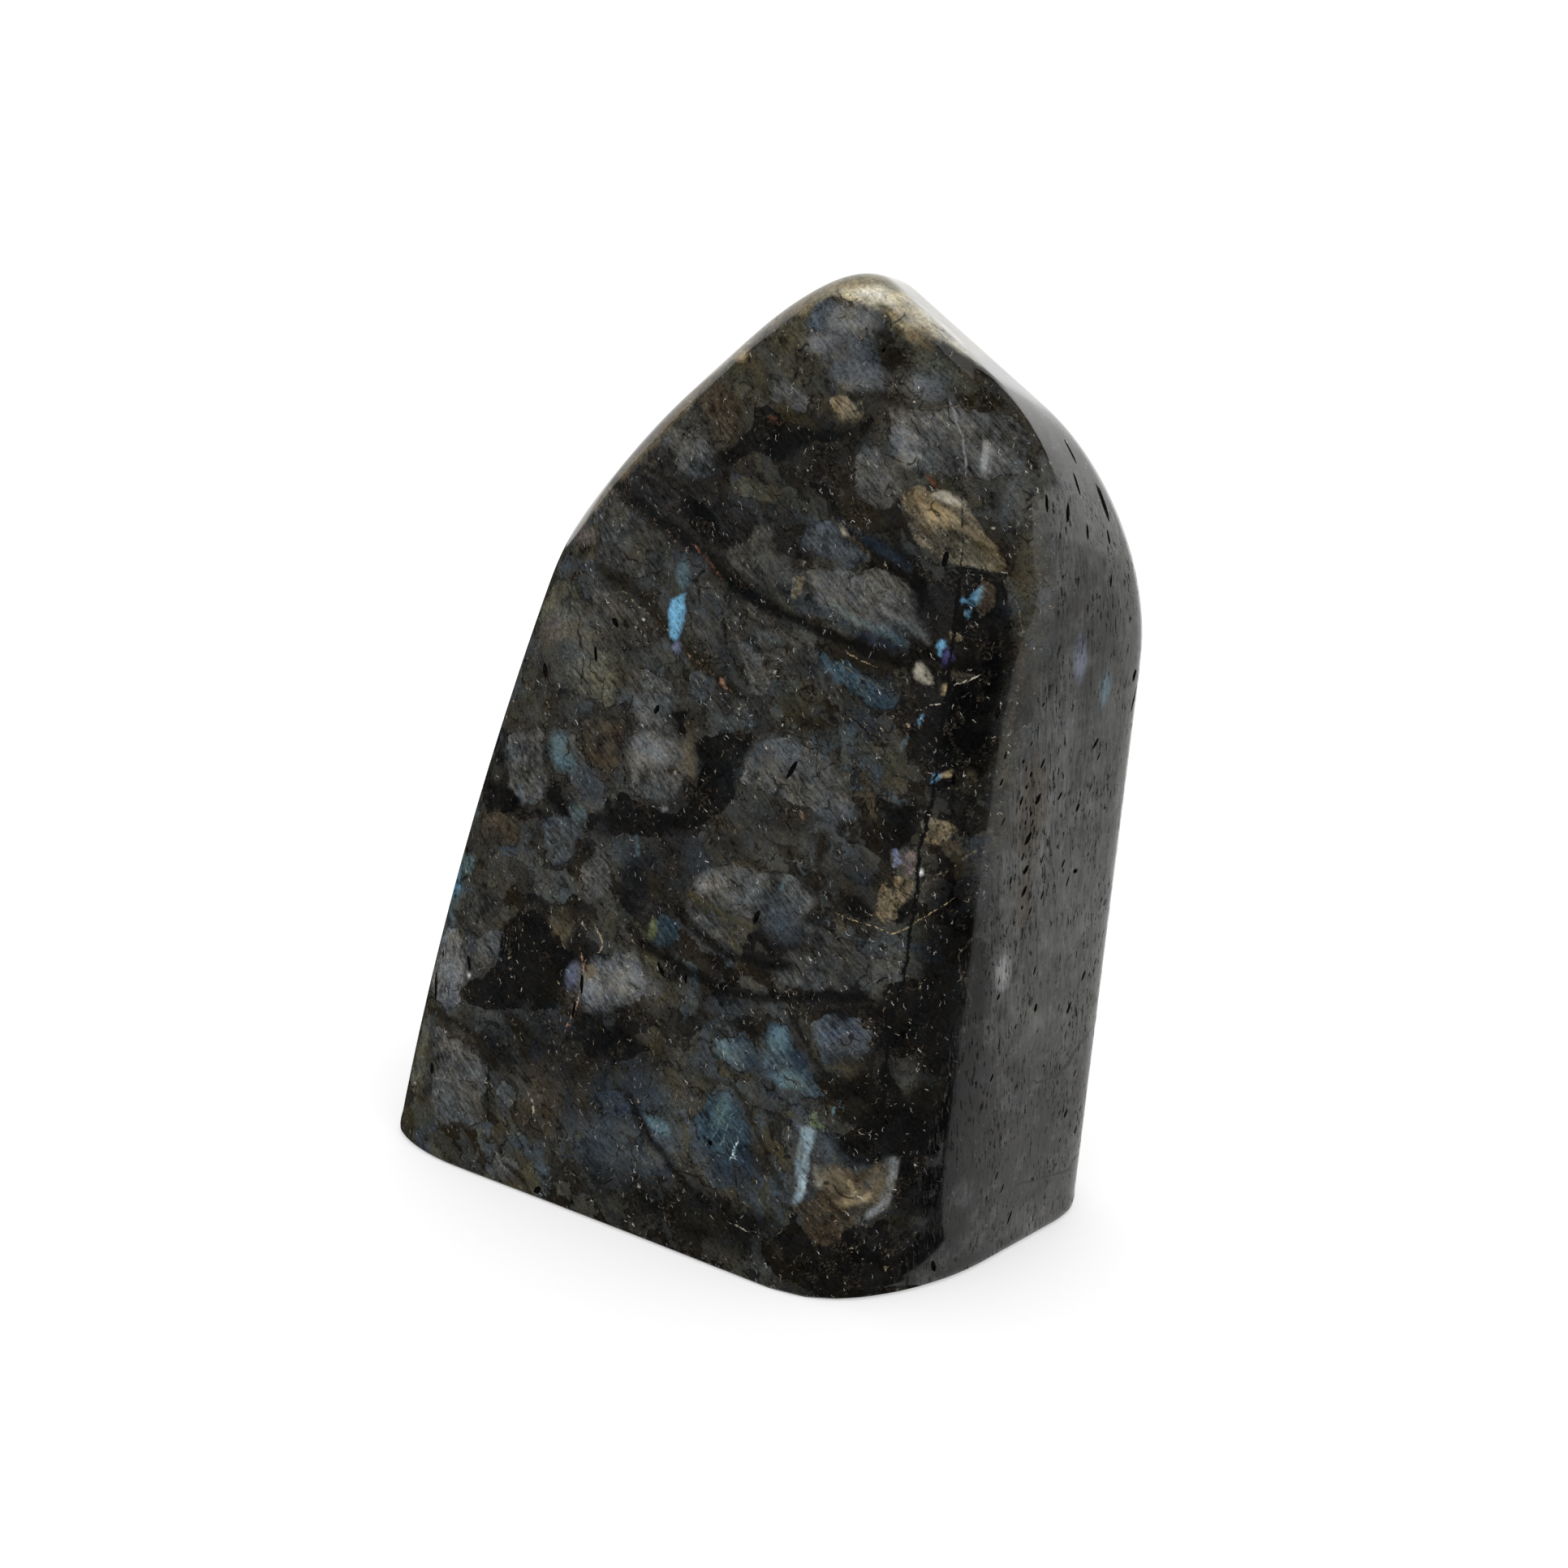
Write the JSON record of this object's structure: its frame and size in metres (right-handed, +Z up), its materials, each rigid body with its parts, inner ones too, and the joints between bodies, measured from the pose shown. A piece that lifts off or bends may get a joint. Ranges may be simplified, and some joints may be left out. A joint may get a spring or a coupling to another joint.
{
  "type": "polished labradorite slab",
  "caption": "Free-standing polished labradorite stone with a broad front face, a softly rolled right side, a sloping pointed top and a flat sawn foot.",
  "frame": {"origin": "middle of the stone's bounding box, on the flat foot", "axes": "+Z up along the height, -Y out of the broad front face, +X towards the rolled right side"},
  "size_m": [0.107, 0.0602, 0.1486],
  "materials": {
    "labradorite": "polished feldspar: dark grey grains with cleavage streaks, fine gold and cream veins, small open pits, and patches of blue and teal sheen"
  },
  "bodies": {
    "root": {"labradorite_slab": "labradorite"}
  },
  "joints": []
}
